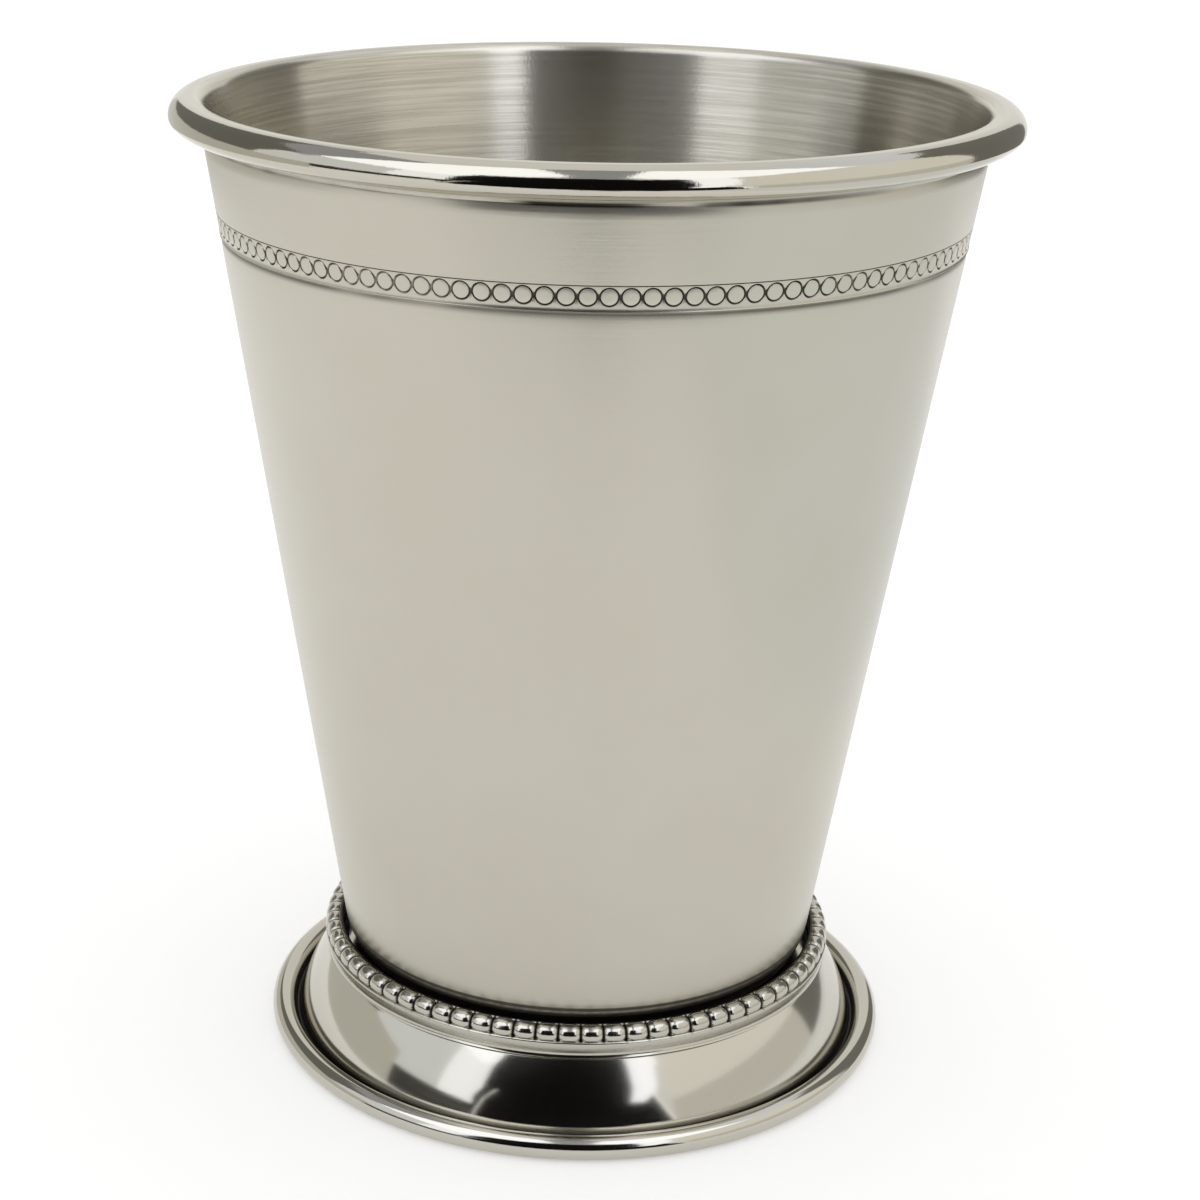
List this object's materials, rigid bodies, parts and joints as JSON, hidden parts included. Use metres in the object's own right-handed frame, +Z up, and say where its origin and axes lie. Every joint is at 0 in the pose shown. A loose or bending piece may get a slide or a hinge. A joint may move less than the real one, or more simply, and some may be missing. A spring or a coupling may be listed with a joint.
{
  "type": "julep cup",
  "caption": "Tapered metal drinking cup with a rolled rim, a chased ring border below it, and a domed foot with a beaded collar and a rolled edge.",
  "frame": {"origin": "centre of the circle that the foot stands on", "axes": "+Z up along the axis that every piece is turned about, from the foot to the mouth; X and Y are alike"},
  "size_m": [0.0894, 0.0894, 0.1075],
  "materials": {
    "satin_metal": "satin polished outside, fine turned lines inside",
    "polished_metal": "mirror polished",
    "core_wire": "drawn wire",
    "braze": "as flowed",
    "solder": "as flowed"
  },
  "bodies": {
    "root": {"cup_body": "satin_metal", "rim_wire": "core_wire", "beaded_border": "polished_metal", "foot_skirt": "polished_metal", "foot_wire": "core_wire", "seat_braze": "braze", "border_solder": "solder"}
  },
  "joints": []
}
